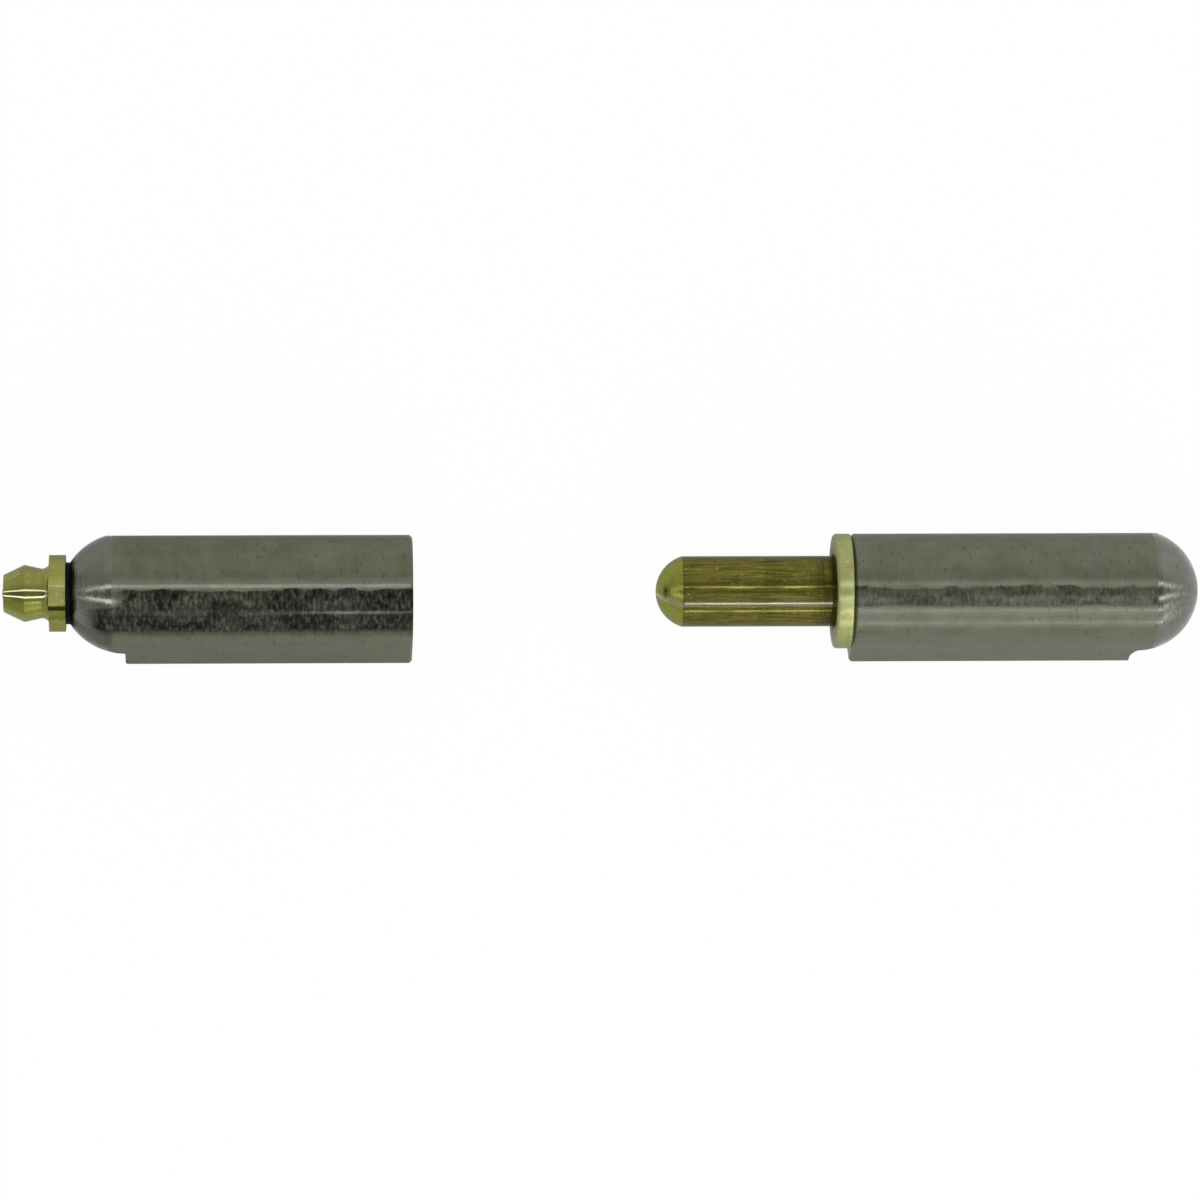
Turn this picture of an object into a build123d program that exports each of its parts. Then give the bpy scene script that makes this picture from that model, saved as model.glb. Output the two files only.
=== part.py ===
"""Weld-on barrel hinge, 80 mm long over its two barrels, with a fixed 8 mm pin.

Units are millimetres, +Z is up. The pin's axis lies along X at one barrel
radius above z = 0, and both halves lie on the lower tangent flat of their
section, with the weld lips pointing to -Y. The socket half is pulled off the
pin by TRAVEL; closing that distance brings it against the thrust washer.

Nodes written to parts/:
    pin_barrel      solid barrel with the blind hole that holds the pin
    hinge_pin       brass pin, pressed into pin_barrel
    thrust_washer   brass washer, on the pin against pin_barrel
    socket_barrel   barrel with the running bore and the grease passage
    grease_fitting  brass grease fitting, screwed into socket_barrel
    check_ball      ball that closes the fitting's inlet
    check_spring    spring that holds the ball shut
"""

import os
from math import cos, radians, sin, sqrt, tan

from build123d import *

os.makedirs("parts", exist_ok=True)

# ---------------------------------------------------------------- dimensions

# Section of both barrels: a round body with a blunt nose, the weld lip.
BARREL_R = 6.5  # barrel radius, 13 mm diameter
NOSE_ANGLE = radians(35.0)  # half angle between the nose's two flats
NOSE_TIP = 8.36  # pin axis to the lip's tip face
NOSE_EDGE_R = 0.5  # rounding of the lip's two long edges
RIM_BREAK = 0.3  # edge break round each flat end face

# Length of each half, from its flat end face.
PIN_HALF_LENGTH = 39.5  # flat end to dome tip
SOCKET_HALF_LENGTH = 39.0  # flat end to the fitting's seat
SOCKET_DOME_AT = 32.15  # flat end to the centre of the socket half's dome
FORM_R = 6.85  # dome radius, just over the barrel's, so it runs out on it
PIN_LIP_END = 31.95  # end of the lip on the pin half
PIN_LIP_FILLET = 1.0  # hollow fillet from that lip end to the dome
SOCKET_LIP_END = 32.35  # end of the lip on the socket half
SOCKET_LIP_R = 0.4  # rounding of that lip's outer end
COLLAR_R = 3.5  # short collar that carries the fitting
COLLAR_LENGTH = 0.5

# Pin and washer.
PIN_R = 4.0
PIN_SEAT = 17.0  # length of pin held in the pin half
PIN_OUT = 22.15  # length of pin that stands out of the pin half
PIN_TIP = 3.0  # height of the domed tip
PIN_END_BREAK = 0.4
WASHER_OUTER_R = 6.5
WASHER_INNER_R = 4.2
WASHER_T = 2.0
WASHER_BREAK = 0.2

# Socket half's bore and grease passage.
BORE_R = PIN_R + 0.05  # running fit on the pin
BORE_DEPTH = PIN_OUT - WASHER_T + 1.05  # leaves room for grease past the pin
BORE_BREAK = 0.3
DRILL_SLOPE = 1.0 / tan(radians(59.0))  # cone that a 118 degree drill leaves
PASSAGE_R = 1.5
TAP_R = 3.0  # fitting's thread, as its outside diameter
TAP_DEPTH = 6.0

# Grease fitting, measured outwards from the collar it seats on.
SHANK_LENGTH = 5.5
SHANK_BREAK = 0.4
HEX_FLATS = 8.0  # across flats
HEX_CORNER_R = 4.325  # its corners are turned down to this radius
HEX_T = 1.87
HEX_TURN = -4.4  # degrees that one flat is turned from facing up, + to the lip
NECK_ROOT_R = 3.3  # where the neck's fillet meets the hexagon
NECK_R = 2.8
NECK_AT = 2.72
HEAD_R = 3.22
HEAD_AT = 4.63
TIP_R = 2.11
TIP_AT = 7.0

# Inside the fitting.
CHAMBER_R = 1.6
CHAMBER_END = 5.55  # the inlet's taper begins here
INLET_R = 1.28  # inlet at the tip face
CRIMP_R = 0.9  # hole left in the crimped inner end
CRIMP_T = 0.5
BALL_R = 1.5
BALL_AT = 5.70  # ball centre when it closes the inlet
WIRE_R = 0.175
COIL_R = 1.15
COILS = 8
SPRING_GAP = 0.02  # clearance left at each end of the drawn spring

# Layout at rest.
TRAVEL = 47.7  # distance the socket half is pulled off the pin

# ------------------------------------------------------------------- derived

NOSE_COS = cos(NOSE_ANGLE)
NOSE_SIN = sin(NOSE_ANGLE)
NOSE_HALF_W = (BARREL_R - NOSE_TIP * NOSE_SIN) / NOSE_COS  # half the tip face
edge_along = NOSE_TIP - NOSE_EDGE_R
edge_across = (BARREL_R - NOSE_EDGE_R - edge_along * NOSE_SIN) / NOSE_COS
LIP_REACH = edge_along * NOSE_COS + edge_across * NOSE_SIN + NOSE_EDGE_R
BALL_TIP = BALL_AT + BALL_R  # outermost point of the socket half

SOCKET_FACE = -WASHER_T - TRAVEL  # socket half's flat end, from the pin half's
LEFT_END = SOCKET_FACE - SOCKET_HALF_LENGTH - BALL_TIP
CENTRE_X = (PIN_HALF_LENGTH + LEFT_END) / 2
CENTRE_Y = (BARREL_R - LIP_REACH) / 2

# Every node is drawn about X, then set at its place on the pin's axis.
PIN_HALF_AT = Pos(-CENTRE_X, -CENTRE_Y, BARREL_R)
SOCKET_HALF_AT = Pos(SOCKET_FACE - CENTRE_X, -CENTRE_Y, BARREL_R)


# ------------------------------------------------------------------- helpers


def nose_point(along: float, across: float) -> tuple[float, float]:
    """Point of the section (y, z), given along and across the nose's axis."""
    return (
        -along * NOSE_COS - across * NOSE_SIN,
        -along * NOSE_SIN + across * NOSE_COS,
    )


def barrel_section() -> Sketch:
    """Round body and blunt nose, on the plane across the pin's axis."""
    tangent_along = BARREL_R * NOSE_SIN
    tangent_across = BARREL_R * NOSE_COS
    nose = Polygon(
        (0.0, 0.0),
        nose_point(tangent_along, tangent_across),
        nose_point(NOSE_TIP, NOSE_HALF_W),
        nose_point(NOSE_TIP, -NOSE_HALF_W),
        nose_point(tangent_along, -tangent_across),
        align=None,
    )
    corners = [
        v
        for v in nose.vertices()
        if (v.X**2 + v.Y**2) ** 0.5 > NOSE_TIP
    ]
    return Circle(BARREL_R) + fillet(corners, NOSE_EDGE_R)


def turned(profile: Wire | Curve) -> Part:
    """Solid of revolution about X from a closed outline in x and radius."""
    return revolve(Plane.XZ * make_face(profile), Axis.X, 360)


def rod(radius: float, start: float, end: float) -> Part:
    """Plain cylinder on the X axis from x = start to x = end."""
    return Pos(start, 0, 0) * extrude(Plane.YZ * Circle(radius), end - start)


def half_plane(low: float, high: float) -> Sketch:
    """Strip of a turned profile from x = low to x = high, above the axis."""
    size = BARREL_R * 2
    return Pos((low + high) / 2, size / 2) * Rectangle(high - low, size)


def bar(length: float, end: Axis = -Axis.X) -> Part:
    """Barrel's section drawn out along X, with its end that way edge-broken."""
    body = extrude(Plane.YZ * barrel_section(), length)
    return chamfer(body.faces().sort_by(end)[-1].edges(), RIM_BREAK)


# ------------------------------------------------------------------ pin half


def pin_barrel() -> Part:
    """Barrel of the pin half, its flat end face at x = 0 and its dome at +X."""
    dome_at = PIN_HALF_LENGTH - FORM_R
    fillet_end = PIN_LIP_END + PIN_LIP_FILLET
    on_form = sqrt(FORM_R**2 - (fillet_end - dome_at) ** 2)
    outer = BARREL_R * 2
    fillet_top = on_form + PIN_LIP_FILLET
    mid = PIN_LIP_FILLET * sqrt(0.5)
    form = turned(
        Polyline((0, 0), (0, outer), (PIN_LIP_END, outer), (PIN_LIP_END, fillet_top))
        + ThreePointArc(
            (PIN_LIP_END, fillet_top),
            (fillet_end - mid, fillet_top - mid),
            (fillet_end, on_form),
        )
        + ThreePointArc(
            (fillet_end, on_form),
            (dome_at + FORM_R * sqrt(0.5), FORM_R * sqrt(0.5)),
            (PIN_HALF_LENGTH, 0),
        )
        + Line((PIN_HALF_LENGTH, 0), (0, 0))
    )
    hole = turned(
        Polyline(
            (-1, 0),
            (-1, PIN_R),
            (PIN_SEAT, PIN_R),
            (PIN_SEAT + PIN_R * DRILL_SLOPE, 0),
            close=True,
        )
    )
    return (bar(PIN_HALF_LENGTH) & form) - hole


def hinge_pin() -> Part:
    """Pin with a domed tip at -X and a broken edge at its held end."""
    start = -PIN_OUT
    dome_base = start + PIN_TIP
    sphere_r = (PIN_R**2 + PIN_TIP**2) / (2 * PIN_TIP)
    centre = start + sphere_r
    half_arc = sqrt(0.5) * sphere_r
    return turned(
        ThreePointArc((start, 0), (centre - half_arc, half_arc), (dome_base, PIN_R))
        + Polyline(
            (dome_base, PIN_R),
            (PIN_SEAT - PIN_END_BREAK, PIN_R),
            (PIN_SEAT, PIN_R - PIN_END_BREAK),
            (PIN_SEAT, 0),
            (start, 0),
        )
    )


def thrust_washer() -> Part:
    """Washer against the pin half's flat end face."""
    ring = rod(WASHER_OUTER_R, -WASHER_T, 0) - rod(WASHER_INNER_R, -WASHER_T, 0)
    return chamfer(ring.edges().filter_by(GeomType.CIRCLE), WASHER_BREAK)


# --------------------------------------------------------------- socket half


def socket_barrel() -> Part:
    """Barrel of the socket half, its flat end face at x = 0 and its dome at -X."""
    outer = BARREL_R * 2
    dome_end = SOCKET_HALF_LENGTH - COLLAR_LENGTH
    dome_length = (dome_end - SOCKET_DOME_AT) / sqrt(1 - (COLLAR_R / FORM_R) ** 2)
    lip_corner = NOSE_TIP + 0.2
    round_start = lip_corner - SOCKET_LIP_R
    mid = SOCKET_LIP_R * (1 - sqrt(0.5))
    lip = turned(
        Polyline(
            (0, 0),
            (0, outer),
            (SOCKET_LIP_R - SOCKET_LIP_END, outer),
            (SOCKET_LIP_R - SOCKET_LIP_END, lip_corner),
        )
        + ThreePointArc(
            (SOCKET_LIP_R - SOCKET_LIP_END, lip_corner),
            (mid - SOCKET_LIP_END, lip_corner - mid),
            (-SOCKET_LIP_END, round_start),
        )
        + Polyline(
            (-SOCKET_LIP_END, round_start),
            (-SOCKET_LIP_END, 0),
            (0, 0),
        )
    )
    half_dome = Ellipse(dome_length, FORM_R) & half_plane(-dome_end + SOCKET_DOME_AT, 0)
    dome = revolve(
        Plane.XZ * Pos(-SOCKET_DOME_AT, 0) * half_dome, Axis.X, 360
    )
    collar = rod(COLLAR_R, -SOCKET_HALF_LENGTH, -SOCKET_DOME_AT)
    bore = turned(
        Polyline(
            (1, 0),
            (1, BORE_R + BORE_BREAK),
            (0, BORE_R + BORE_BREAK),
            (-BORE_BREAK, BORE_R),
            (-BORE_DEPTH, BORE_R),
            (-BORE_DEPTH - BORE_R * DRILL_SLOPE, 0),
            close=True,
        )
    )
    tapped = turned(
        Polyline(
            (-SOCKET_HALF_LENGTH - 1, 0),
            (-SOCKET_HALF_LENGTH - 1, TAP_R),
            (TAP_DEPTH - SOCKET_HALF_LENGTH, TAP_R),
            (TAP_DEPTH - SOCKET_HALF_LENGTH + TAP_R * DRILL_SLOPE, 0),
            close=True,
        )
    )
    passage = rod(PASSAGE_R, -SOCKET_HALF_LENGTH, -BORE_DEPTH)
    blank = Pos(-SOCKET_HALF_LENGTH, 0, 0) * bar(SOCKET_HALF_LENGTH, end=Axis.X)
    return (blank & (lip + dome + collar)) - bore - tapped - passage


def out(distance: float) -> float:
    """Place on X of a point on the fitting, measured outwards from its seat."""
    return -SOCKET_HALF_LENGTH - distance


def grease_fitting() -> Part:
    """Grease fitting: shank, hexagon, coupling head and the ball's chamber."""
    neck_arc = TangentArc(
        (out(NECK_AT), NECK_R), (out(HEX_T), NECK_ROOT_R), tangent=(1, 0)
    )
    body = turned(
        Polyline(
            (out(-SHANK_LENGTH), 0),
            (out(-SHANK_LENGTH), TAP_R - SHANK_BREAK),
            (out(SHANK_BREAK - SHANK_LENGTH), TAP_R),
            (out(0), TAP_R),
            (out(0), NECK_ROOT_R),
            (out(HEX_T), NECK_ROOT_R),
        )
        + neck_arc
        + Polyline(
            (out(NECK_AT), NECK_R),
            (out(HEAD_AT), HEAD_R),
            (out(TIP_AT), TIP_R),
            (out(TIP_AT), 0),
            (out(-SHANK_LENGTH), 0),
        )
    )
    flats = RegularPolygon(HEX_FLATS / 2, 6, major_radius=False, rotation=HEX_TURN)
    outline = flats & Circle(HEX_CORNER_R)
    hexagon = Pos(out(HEX_T), 0, 0) * extrude(Plane.YZ * outline, HEX_T)
    chamber = turned(
        Polyline(
            (out(-SHANK_LENGTH - 1), 0),
            (out(-SHANK_LENGTH - 1), CRIMP_R),
            (out(CRIMP_T - SHANK_LENGTH), CRIMP_R),
            (out(CRIMP_T - SHANK_LENGTH), CHAMBER_R),
            (out(CHAMBER_END), CHAMBER_R),
            (out(TIP_AT), INLET_R),
            (out(TIP_AT + 1), INLET_R),
            (out(TIP_AT + 1), 0),
            close=True,
        )
    )
    return body + hexagon - chamber


def check_ball() -> Part:
    """Ball that closes the fitting's inlet."""
    return Pos(out(BALL_AT), 0, 0) * Sphere(BALL_R)


def check_spring() -> Part:
    """Coil spring between the fitting's crimped end and the ball."""
    inner = CRIMP_T - SHANK_LENGTH + WIRE_R + SPRING_GAP
    reach = BALL_R + WIRE_R + SPRING_GAP
    outer = BALL_AT - sqrt(reach**2 - COIL_R**2)
    length = outer - inner
    coil = Helix(pitch=length / COILS, height=length, radius=COIL_R)
    wire = sweep(Plane(coil @ 0, z_dir=coil % 0) * Circle(WIRE_R), path=coil)
    return Pos(out(inner), 0, 0) * Rot(0, -90, 0) * wire


# --------------------------------------------------------------------- nodes

NODES = {
    "pin_barrel": (pin_barrel, PIN_HALF_AT),
    "hinge_pin": (hinge_pin, PIN_HALF_AT),
    "thrust_washer": (thrust_washer, PIN_HALF_AT),
    "socket_barrel": (socket_barrel, SOCKET_HALF_AT),
    "grease_fitting": (grease_fitting, SOCKET_HALF_AT),
    "check_ball": (check_ball, SOCKET_HALF_AT),
    "check_spring": (check_spring, SOCKET_HALF_AT),
}

for name, (make, place) in NODES.items():
    solid = (place * make()).solid()
    solid.label = name
    export_step(solid, f"parts/{name}.step")
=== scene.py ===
"""Dresses the weld-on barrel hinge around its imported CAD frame.

The two steel barrels, the check ball and its spring keep the shapes that the
frame gives them and get their finishes here. The hinge pin, the thrust washer
and the grease fitting are turned anew, ring by ring, with the small edge
breaks and tool marks that the plain solids lack. Lengths are in metres unless
a name or a docstring says millimetres.
"""

from __future__ import annotations

import logging
import math
from abc import ABC, abstractmethod
from dataclasses import dataclass, field
from enum import Enum
from functools import reduce
from typing import Any, Iterable, Sequence, Union

import bpy
from mathutils import Matrix, Vector

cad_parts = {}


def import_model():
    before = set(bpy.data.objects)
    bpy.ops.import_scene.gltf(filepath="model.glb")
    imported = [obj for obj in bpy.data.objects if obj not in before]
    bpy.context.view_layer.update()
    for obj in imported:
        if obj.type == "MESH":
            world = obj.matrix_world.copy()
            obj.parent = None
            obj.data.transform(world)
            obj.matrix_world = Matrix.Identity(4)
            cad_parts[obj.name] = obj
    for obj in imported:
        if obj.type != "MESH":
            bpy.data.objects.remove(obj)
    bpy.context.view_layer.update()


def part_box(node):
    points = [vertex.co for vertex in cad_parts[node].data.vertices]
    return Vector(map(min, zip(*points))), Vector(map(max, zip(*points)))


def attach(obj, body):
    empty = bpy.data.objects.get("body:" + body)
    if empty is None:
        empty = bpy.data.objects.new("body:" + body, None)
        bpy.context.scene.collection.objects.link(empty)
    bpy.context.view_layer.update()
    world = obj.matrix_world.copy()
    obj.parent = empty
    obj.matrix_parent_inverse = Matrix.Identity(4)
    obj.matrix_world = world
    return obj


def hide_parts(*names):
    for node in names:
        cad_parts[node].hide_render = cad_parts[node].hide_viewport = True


LOG = logging.getLogger("barrel_hinge")
MM = 0.001
DEG_PER_RAD = 180.0 / math.pi
SQUARE_TO_AXIS = (0.9, 0.97)

Socket = bpy.types.NodeSocket
Colour = tuple[float, float, float]
Value = Union[float, Socket]
Tint = Union[Colour, Socket]
Stretch = tuple[float, float]


class Body(str, Enum):
    """Rigid bodies of the hinge that a new piece can ride on."""

    PIN_HALF = "pin_half"
    WASHER = "washer"
    SOCKET_HALF = "socket_half"


class Node(str, Enum):
    """Solids of the CAD frame."""

    PIN_BARREL = "pin_barrel"
    HINGE_PIN = "hinge_pin"
    WASHER = "thrust_washer"
    SOCKET_BARREL = "socket_barrel"
    FITTING = "grease_fitting"
    BALL = "check_ball"
    SPRING = "check_spring"


class Slot(str, Enum):
    """Material slots of the record."""

    PIN_BRASS = "pin_brass"
    WASHER_BRASS = "washer_brass"
    FITTING_BRASS = "fitting_brass"


class Sum(str, Enum):
    """Sums that a Math node can do."""

    ADD = "ADD"
    SUBTRACT = "SUBTRACT"
    MULTIPLY = "MULTIPLY"
    ANGLE = "ARCTAN2"
    MAXIMUM = "MAXIMUM"
    ABSOLUTE = "ABSOLUTE"
    SQUARE_ROOT = "SQRT"
    PING_PONG = "PINGPONG"


def linear(red: int, green: int, blue: int) -> Colour:
    """Linear colour of an sRGB colour given as 0 to 255.

    Args:
        red: Red, 0 to 255.
        green: Green, 0 to 255.
        blue: Blue, 0 to 255.

    Returns:
        The three linear values, 0 to 1.
    """

    def one(value: int) -> float:
        """Linear value of one sRGB channel."""
        v = value / 255.0
        return v / 12.92 if v <= 0.04045 else ((v + 0.055) / 1.055) ** 2.4

    return one(red), one(green), one(blue)


def shade(colour: Colour, factor: float) -> Colour:
    """Colour made darker or lighter by a factor."""
    return tuple(factor * channel for channel in colour)


@dataclass
class Axis:
    """The pin's axis and the ends of a node along it, read from the frame."""

    node: Node
    low: Vector = field(init=False)
    high: Vector = field(init=False)

    def __post_init__(self) -> None:
        """Read the node's box."""
        low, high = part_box(self.node.value)
        self.low, self.high = Vector(low), Vector(high)

    @property
    def centre(self) -> Vector:
        """Middle of the node's box."""
        return (self.low + self.high) / 2

    @property
    def length_mm(self) -> float:
        """Length of the node along the axis."""
        return (self.high.x - self.low.x) / MM

    @property
    def radius_mm(self) -> float:
        """Radius of the node."""
        return (self.high.z - self.low.z) / 2 / MM

    def at(self, x: float) -> Vector:
        """Point on the axis at a place along X."""
        return Vector((x, self.centre.y, self.centre.z))


# ------------------------------------------------------------------ materials


class Graph:
    """Builds the node tree of one material or world."""

    def __init__(self, tree: bpy.types.NodeTree) -> None:
        """Start from an empty tree.

        Args:
            tree: Node tree to fill.
        """
        self.tree = tree
        tree.nodes.clear()

    def add(self, kind: str, inputs: dict[Any, Any] | None = None, **props: Any) -> bpy.types.Node:
        """Add a node, set its properties and fill or link its inputs.

        Args:
            kind: Blender's name for the node type.
            inputs: Values or sockets by input name or number.
            **props: Properties of the node.

        Returns:
            The new node.
        """
        node = self.tree.nodes.new(kind)
        for key, value in props.items():
            setattr(node, key, value)
        for key, value in (inputs or {}).items():
            if isinstance(value, Socket):
                self.tree.links.new(value, node.inputs[key])
            else:
                node.inputs[key].default_value = value
        return node

    def sum(self, operation: Sum, a: Value, b: Value = 0.0) -> Socket:
        """Result of one Math node."""
        return self.add("ShaderNodeMath", {0: a, 1: b}, operation=operation.value).outputs[0]

    def times(self, *factors: Value) -> Socket:
        """Product of values or sockets."""
        return reduce(lambda a, b: self.sum(Sum.MULTIPLY, a, b), factors)

    def plus(self, *parts: Value) -> Socket:
        """Values or sockets added up."""
        return reduce(lambda a, b: self.sum(Sum.ADD, a, b), parts)

    def minus(self, a: Value, b: Value) -> Socket:
        """First value or socket less the second."""
        return self.sum(Sum.SUBTRACT, a, b)

    def size(self, value: Value) -> Socket:
        """Value or socket without its sign."""
        return self.sum(Sum.ABSOLUTE, value)

    def vector(self, x: Value, y: Value, z: Value) -> Socket:
        """Vector put together from three values or sockets."""
        return self.add("ShaderNodeCombineXYZ", {0: x, 1: y, 2: z}).outputs[0]

    def noise(self, vector: Socket, cells: float, detail: float = 3.0, rough: float = 0.55) -> Socket:
        """Noise value at a vector.

        Args:
            vector: Where the noise is read.
            cells: Noise cells per unit of the vector.
            detail: Octaves of finer noise.
            rough: Share that each octave keeps.

        Returns:
            Socket of the noise, around 0.5.
        """
        inputs = {"Vector": vector, "Scale": cells, "Detail": detail, "Roughness": rough}
        return self.add("ShaderNodeTexNoise", inputs).outputs["Fac"]

    def line(self, value: Value, low: float, high: float, to_low: float, to_high: float) -> Socket:
        """Value mapped straight from one range to another, and held at its ends."""
        inputs = {0: value, 1: low, 2: high, 3: to_low, 4: to_high}
        return self.add("ShaderNodeMapRange", inputs).outputs[0]

    def span(
        self, value: Value, low: float, high: float, to_low: float = 0.0, to_high: float = 1.0
    ) -> Socket:
        """Smooth step of a value from one range to another.

        Args:
            value: Value or socket to map.
            low: Value where the step begins.
            high: Value where it ends.
            to_low: Result before the step.
            to_high: Result after it.

        Returns:
            Socket of the mapped value.
        """
        inputs = {0: value, 1: low, 2: high, 3: to_low, 4: to_high}
        return self.add("ShaderNodeMapRange", inputs, interpolation_type="SMOOTHSTEP").outputs[0]

    def step(self, value: Value, middle: float, soft: float) -> Socket:
        """Share that rises from 0 to 1 round a middle value."""
        return self.span(value, middle - soft, middle + soft)

    def without(self, share: Value, low: float = 0.0, high: float = 1.0) -> Socket:
        """Share that falls from 1 to 0 while a value rises."""
        return self.span(share, low, high, 1.0, 0.0)

    def between(self, value: Value, stretch: Stretch, soft: Stretch) -> Socket:
        """Share that is 1 along a stretch of values and 0 beyond it.

        Args:
            value: Value or socket to test.
            stretch: Values where the share has half risen and half fallen.
            soft: Half the widths of its rise and its fall.

        Returns:
            Socket of the share.
        """
        risen = self.step(value, stretch[0], soft[0])
        return self.times(risen, self.without(value, stretch[1] - soft[1], stretch[1] + soft[1]))

    def blend(self, factor: Value, a: Tint, b: Tint) -> Socket:
        """Mix of two colours.

        Args:
            factor: Share of the second colour.
            a: First colour or socket.
            b: Second colour or socket.

        Returns:
            Socket of the mixed colour.
        """

        def colour(value: Tint) -> Any:
            """Four values where a plain colour has three."""
            return value if isinstance(value, Socket) else (*value, 1.0)

        inputs = {0: factor, 6: colour(a), 7: colour(b)}
        return self.add("ShaderNodeMix", inputs, data_type="RGBA").outputs[2]

    def layers(self, base: Tint, *coats: tuple[Value, Tint]) -> Socket:
        """Colours laid over a base one after another, each with its share."""
        return reduce(lambda under, coat: self.blend(coat[0], under, coat[1]), coats, base)

    def mottled(self, noise: Socket, colour: Colour, spread: float) -> Socket:
        """Colour that a noise makes darker and lighter by a share."""
        return self.blend(self.span(noise, 0.3, 0.7), shade(colour, 1 - spread), shade(colour, 1 + spread))

    def bump(
        self, height: Socket, depth_mm: float, strength: float = 1.0, under: Socket | None = None
    ) -> Socket:
        """Surface normal raised by a height.

        Args:
            height: Height from 0 to 1.
            depth_mm: Real height of 1.
            strength: Share of the effect.
            under: Normal that this one is added to.

        Returns:
            Socket of the normal.
        """
        inputs: dict[Any, Any] = {"Height": height, "Distance": depth_mm * MM, "Strength": strength}
        if under is not None:
            inputs["Normal"] = under
        return self.add("ShaderNodeBump", inputs).outputs[0]


@dataclass(frozen=True)
class Marks:
    """Noise on a turned piece, drawn out where a factor along or around is small.

    A layer is the depth at which the noise is read. Without one it is read at
    the distance from the axis, so that end faces have marks of their own.
    """

    cells: float
    detail: float = 3.0
    rough: float = 0.55
    along: float = 1.0
    around: float = 1.0
    layer: float | None = None


@dataclass(frozen=True)
class TurnedSurface:
    """Coordinates round the pin's axis that every finish reads.

    Lengths are in millimetres. The angle toward_lip is in degrees, from
    straight up to the side where the weld lips are. Marks are read at moved,
    so that pieces of one finish differ. Faced is 1 on faces square to the axis.
    """

    graph: Graph
    place: Socket
    along: Socket
    moved: Socket
    around: Socket
    out: Socket
    toward_lip: Socket
    faced: Socket
    round_side: Socket

    def noise(self, marks: Marks) -> Socket:
        """Noise of some marks on the surface.

        Args:
            marks: How busy the noise is and how it is drawn out.

        Returns:
            Socket of the noise, around 0.5.
        """
        where = self.graph.vector(
            self.graph.times(self.moved, marks.along),
            self.graph.times(self.around, marks.around),
            self.out if marks.layer is None else marks.layer,
        )
        return self.graph.noise(where, marks.cells, marks.detail, marks.rough)


@dataclass(frozen=True, kw_only=True)
class Finish(ABC):
    """What all finishes of the hinge share: bare metal under a film of oil.

    The oil lies in a streak along the piece, between two angles toward the
    lip, and oil_rest is what is left of it elsewhere. Every finish follows the
    pin's axis, and measures the way round at its own radius.
    """

    name: str
    colour: Colour
    roughness: float
    radius_mm: float = 4.0
    seed_mm: float = 0.0
    edge_tint: float = 0.7
    oil: float = 0.0
    oil_rest: float = 0.1
    oil_deg: Stretch = (0.0, 0.0)
    oil_soft_deg: Stretch = (2.0, 2.0)
    oil_roughness: float = 0.06
    oil_ior: float = 1.5
    pin: Axis = field(default_factory=lambda: Axis(Node.HINGE_PIN))

    @abstractmethod
    def build(self) -> bpy.types.Material:
        """Build the material."""

    def begin(self) -> tuple[bpy.types.Material, TurnedSurface]:
        """Start a material of this finish's name.

        Returns:
            The material, and the coordinates of the surface that it covers.
        """
        material = bpy.data.materials.new(self.name)
        material.use_nodes = True
        graph = Graph(material.node_tree)
        centre = self.pin.centre
        coords = graph.add("ShaderNodeTexCoord").outputs
        facing = graph.add("ShaderNodeSeparateXYZ", {0: coords["Normal"]}).outputs[0]
        centred = graph.add(
            "ShaderNodeMapping",
            {
                "Vector": coords["Object"],
                "Location": (0.0, -centre.y / MM, -centre.z / MM),
                "Scale": (1 / MM, 1 / MM, 1 / MM),
            },
        ).outputs[0]
        along, across, up = graph.add("ShaderNodeSeparateXYZ", {0: centred}).outputs
        angle = graph.sum(Sum.ANGLE, across, up)
        square = graph.plus(graph.times(across, across), graph.times(up, up))
        faced = graph.span(graph.size(facing), *SQUARE_TO_AXIS)
        return material, TurnedSurface(
            graph=graph,
            place=centred,
            along=along,
            moved=graph.plus(along, self.seed_mm),
            around=graph.times(angle, self.radius_mm),
            out=graph.sum(Sum.SQUARE_ROOT, square),
            toward_lip=graph.times(angle, -DEG_PER_RAD),
            faced=faced,
            round_side=graph.without(faced),
        )

    def streak(self, at: TurnedSurface) -> Socket:
        """Share of the oil's streak."""
        return at.graph.between(at.toward_lip, self.oil_deg, self.oil_soft_deg)

    def film(self, at: TurnedSurface) -> Socket:
        """Share of oil on the surface, full along the streak and thin elsewhere."""
        return at.graph.line(self.streak(at), 0.0, 1.0, self.oil_rest, self.oil)

    def end(self, graph: Graph, colour: Socket, roughness: Socket, normal: Socket, oil: Value) -> None:
        """Join the finish to a metal shader under a thin film of oil.

        Args:
            graph: Graph of the material.
            colour: Socket of the metal's colour.
            roughness: Socket of its roughness.
            normal: Socket of its normal.
            oil: Share of the film.
        """
        tint = self.edge_tint
        shader = graph.add(
            "ShaderNodeBsdfPrincipled",
            {
                "Base Color": colour,
                "Metallic": 1.0,
                "Roughness": roughness,
                "Normal": normal,
                "Specular Tint": (tint, tint, tint, 1.0),
                "Coat Weight": oil,
                "Coat Roughness": self.oil_roughness,
                "Coat IOR": self.oil_ior,
            },
        )
        graph.add("ShaderNodeOutputMaterial", {0: shader.outputs[0]})


@dataclass(frozen=True)
class BarSurface:
    """Places and noises on a bar that its colour, relief and oil share.

    Beyond is the way past the place where the turned end begins, scaly the
    band that scale can cover, and scale what is left of it there.
    """

    at: TurnedSurface
    pits: Socket
    cloud: Socket
    speck: Socket
    beyond: Socket
    turned: Socket
    where: Socket
    scaly: Socket
    scale: Socket


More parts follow.
